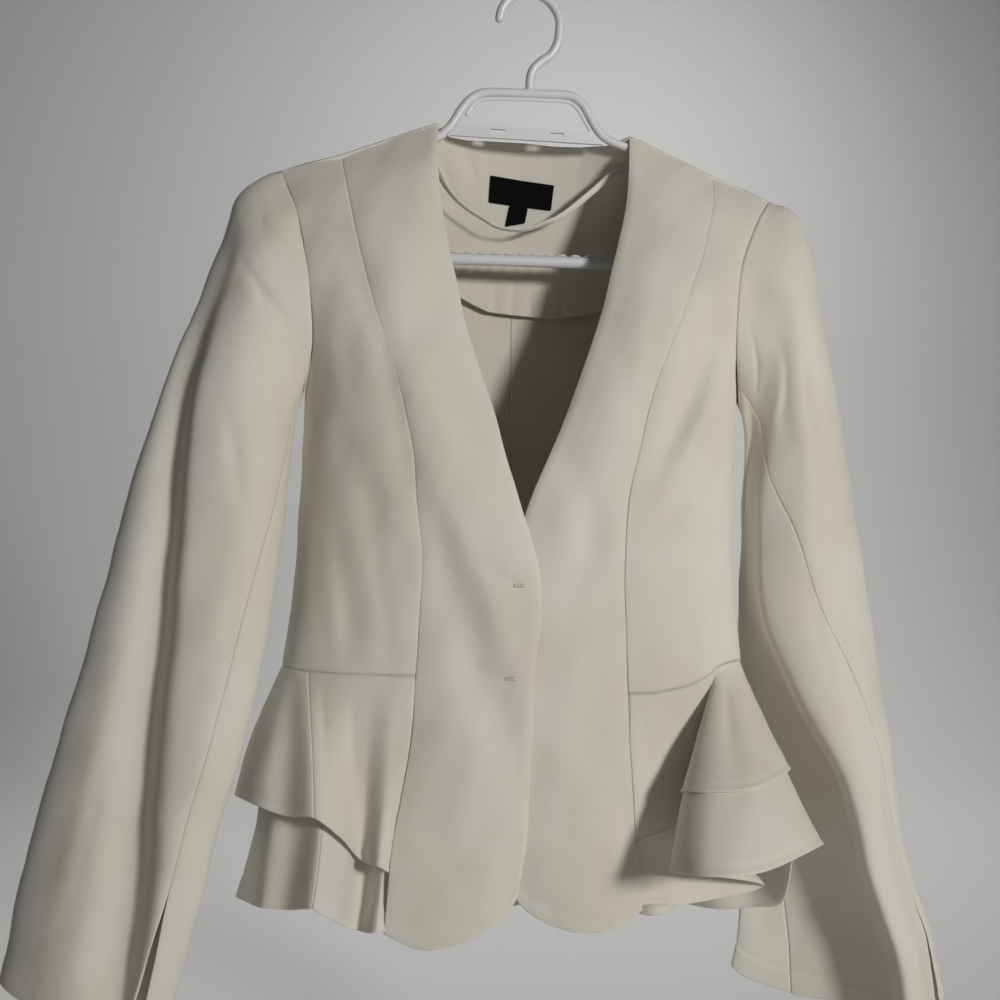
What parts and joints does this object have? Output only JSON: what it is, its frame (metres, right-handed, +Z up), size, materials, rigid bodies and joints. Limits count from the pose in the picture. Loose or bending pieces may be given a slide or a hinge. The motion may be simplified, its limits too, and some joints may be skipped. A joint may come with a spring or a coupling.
{
  "type": "peplum jacket on a hanger",
  "caption": "Collarless V-neck fitted jacket with a two-tier peplum, a large side flute and flared sleeves, hanging on a white plastic hanger",
  "frame": {"origin": "inner top of the hanger's hook, where it rests on its peg", "axes": "+Z up; the garment's front faces -Y; its wearer's right side is at -X"},
  "size_m": [0.7453, 0.2199, 0.8293],
  "materials": {
    "cloth": "matte ivory twill",
    "hanger": "smooth white plastic",
    "label": "black woven label, bare",
    "ribbon": "white satin ribbon"
  },
  "bodies": {
    "root": {"front_centre_right": "cloth", "front_side_right": "cloth", "back_right": "cloth", "sleeve_top_right": "cloth", "sleeve_under_right": "cloth", "peplum_upper_front_right": "cloth", "peplum_upper_back_right": "cloth", "peplum_lower_front_right": "cloth", "peplum_lower_back_right": "cloth", "front_centre_left": "cloth", "front_side_left": "cloth", "back_left": "cloth", "sleeve_top_left": "cloth", "sleeve_under_left": "cloth", "peplum_upper_front_left": "cloth", "peplum_upper_back_left": "cloth", "peplum_lower_front_left": "cloth", "peplum_lower_back_left": "cloth", "hanger_hook": "hanger", "hanger_frame": "hanger", "hanger_bar": "hanger", "hanger_flat_bar": "hanger", "back_neck_facing": "cloth", "fastening_bar_1": "cloth", "fastening_bar_2": "cloth", "label": "label", "size_tab": "label", "hanging_loop": "ribbon", "hanger_nub_1": "hanger", "hanger_nub_2": "hanger", "hanger_nub_3": "hanger", "hanger_nub_4": "hanger", "hanger_nub_5": "hanger", "hanger_nub_6": "hanger", "hanger_nub_7": "hanger", "hanger_nub_8": "hanger", "hanger_nub_9": "hanger", "hanger_nub_10": "hanger", "hanger_nub_11": "hanger", "hanger_nub_12": "hanger"}
  },
  "joints": []
}
